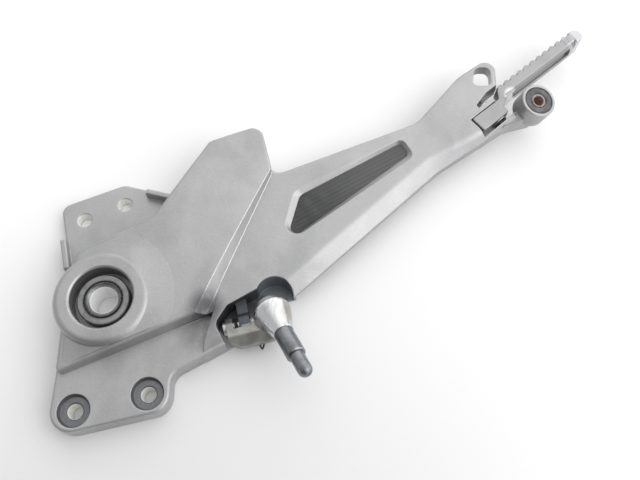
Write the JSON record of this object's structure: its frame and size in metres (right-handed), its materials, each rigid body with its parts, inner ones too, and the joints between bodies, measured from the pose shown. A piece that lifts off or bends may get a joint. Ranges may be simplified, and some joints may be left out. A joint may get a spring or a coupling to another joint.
{
  "type": "motorcycle footrest hanger",
  "caption": "Cast alloy footrest hanger for a motorcycle: domed heel guard with pivot boss, long arm, folding rider's peg, toothed folding pillion peg and a rubber-bushed silencer boss.",
  "frame": {"origin": "pivot axis where it meets the inner mounting plane", "axes": "+Z along the pivot axis, outward from the motorcycle; +X rearward along the arm; +Y upward"},
  "size_m": [0.4178, 0.3253, 0.0495],
  "materials": {
    "cast_silver": "satin silver paint on cast alloy",
    "bush_steel": "turned, dirty groove",
    "collar_steel": "turned, worn bright",
    "inlay_black": "matt, finely ribbed",
    "grommet_rubber": "dusty rubber",
    "rusty_sleeve": "brown rust",
    "knuckle_alloy": "cast, worn edges",
    "bright_cone": "polished",
    "core_steel": "bare steel, dull",
    "pin_steel": "zinc plated",
    "spring_steel": "blackened",
    "peg_alloy": "cast, polished tip"
  },
  "bodies": {
    "hanger": {"hanger_casting": "cast_silver", "pivot_bush": "bush_steel", "pivot_collar": "collar_steel", "arm_inlay": "inlay_black", "rear_grommet": "grommet_rubber", "rear_grommet_sleeve": "rusty_sleeve", "pillion_hinge_pin": "pin_steel", "pillion_pin_washer": "pin_steel", "pillion_friction_spring": "spring_steel", "pillion_pin_clip": "spring_steel"},
    "rider_peg": {"rider_knuckle": "knuckle_alloy", "rider_collar": "bright_cone", "rider_core": "core_steel", "rider_hinge_pin": "pin_steel", "rider_pin_washer": "pin_steel", "rider_lock_pin": "pin_steel", "rider_return_spring": "spring_steel"},
    "pillion_peg": {"pillion_peg": "peg_alloy", "pillion_detent_ball": "pin_steel", "pillion_detent_spring": "spring_steel"}
  },
  "joints": [
    {"name": "rider_peg_fold", "type": "hinge", "parent": "hanger", "child": "rider_peg", "pos_m": [0.1007, -0.0148, 0.012], "axis": [-0.9703, -0.2419, 0], "range_deg": [0, 60], "stiffness_Nm_per_rad": 0.2, "springref_deg": -28.65},
    {"name": "pillion_peg_fold", "type": "hinge", "parent": "hanger", "child": "pillion_peg", "pos_m": [0.2934, 0.1548, 0.021], "axis": [0.6401, -0.7683, 0], "range_deg": [0, 90]}
  ]
}
